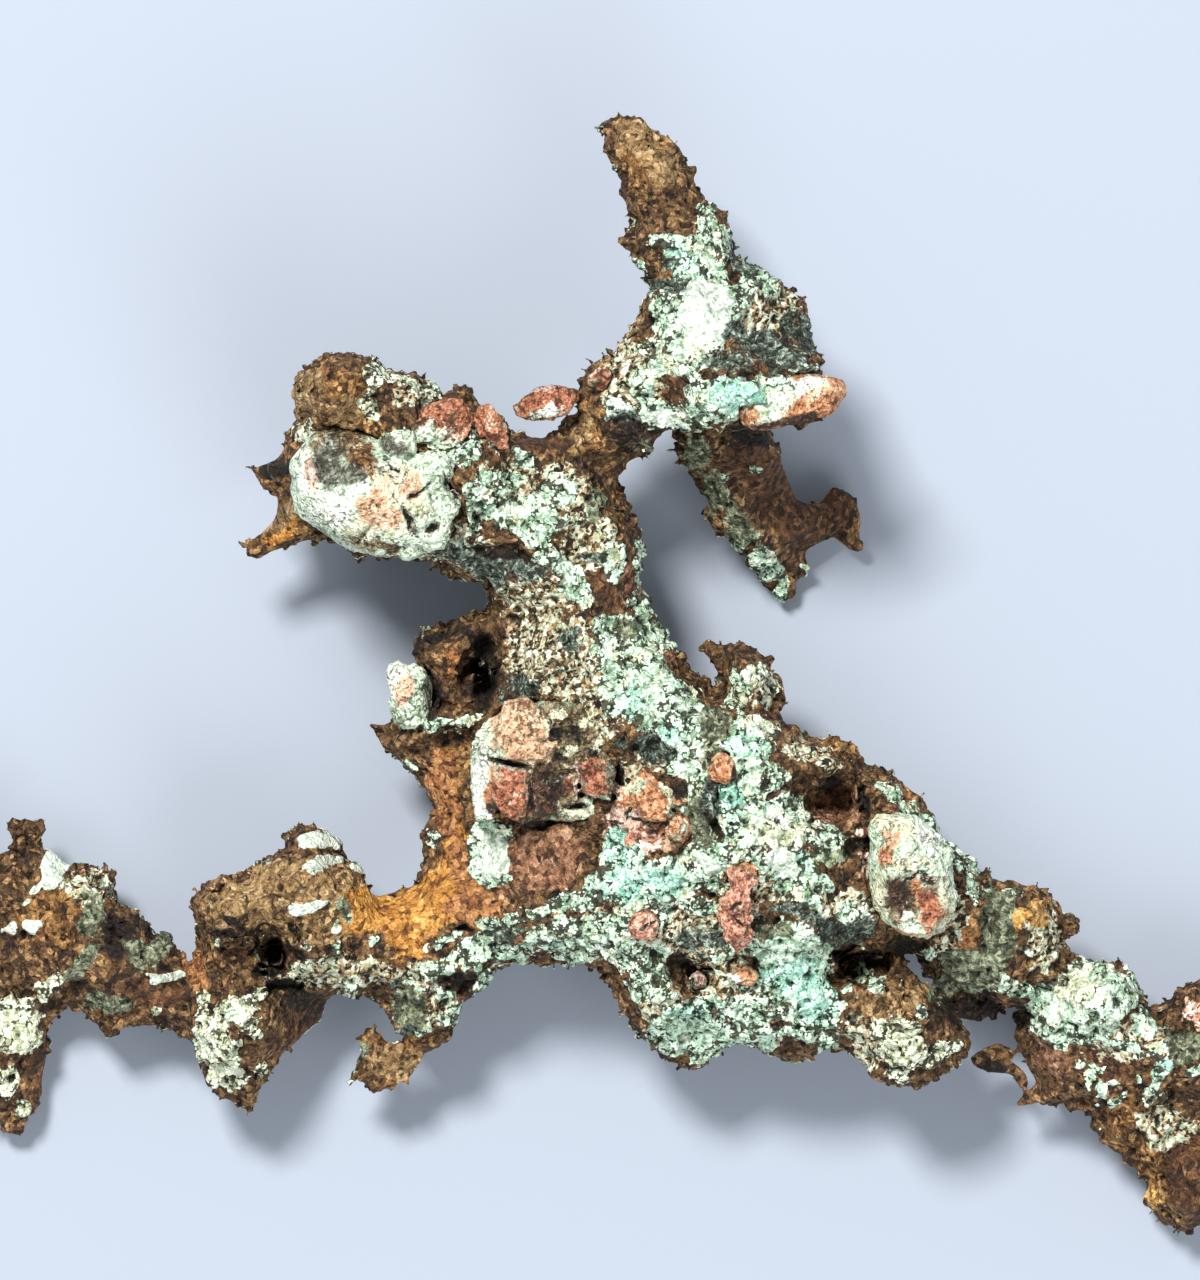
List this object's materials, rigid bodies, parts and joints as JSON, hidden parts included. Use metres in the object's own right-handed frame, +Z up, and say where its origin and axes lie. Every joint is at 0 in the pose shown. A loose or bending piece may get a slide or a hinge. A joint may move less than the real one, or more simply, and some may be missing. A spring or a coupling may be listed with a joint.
{
  "type": "native copper nugget",
  "caption": "Branching native copper nugget with a crumbly green crust and pebbles and crystals held in it, lying on its back.",
  "frame": {"origin": "middle of the nugget's footprint, on the surface it lies on", "axes": "+X along the nugget towards its thin right end, +Y towards the spire, +Z up, out of the crusted front"},
  "size_m": [0.142, 0.112, 0.035],
  "materials": {
    "native_copper": "weathered native copper, brown oxide under a crumbly green and turquoise crust",
    "pale_rock": "worn pebble with a pale green crust",
    "red_rock": "matt red-brown rock",
    "orange_rock": "matt orange and pink feldspar"
  },
  "bodies": {
    "root": {"copper_left_end": "native_copper", "copper_left_block": "native_copper", "copper_column": "native_copper", "copper_center": "native_copper", "copper_trunk": "native_copper", "copper_head": "native_copper", "copper_spire": "native_copper", "copper_blade": "native_copper", "copper_right_shoulder": "native_copper", "copper_right_end": "native_copper", "head_cobble": "pale_rock", "core_cobble": "pale_rock", "right_cobble": "pale_rock", "left_cobble": "pale_rock", "white_bead": "pale_rock", "red_rock_head": "red_rock", "red_chip_head": "red_rock", "red_lens": "red_rock", "red_chip_spire": "red_rock", "pink_bead": "red_rock", "ledge_slab": "orange_rock", "orange_crystals": "orange_rock", "pink_crystals": "orange_rock", "orange_bead": "orange_rock", "cream_bead": "orange_rock"}
  },
  "joints": []
}
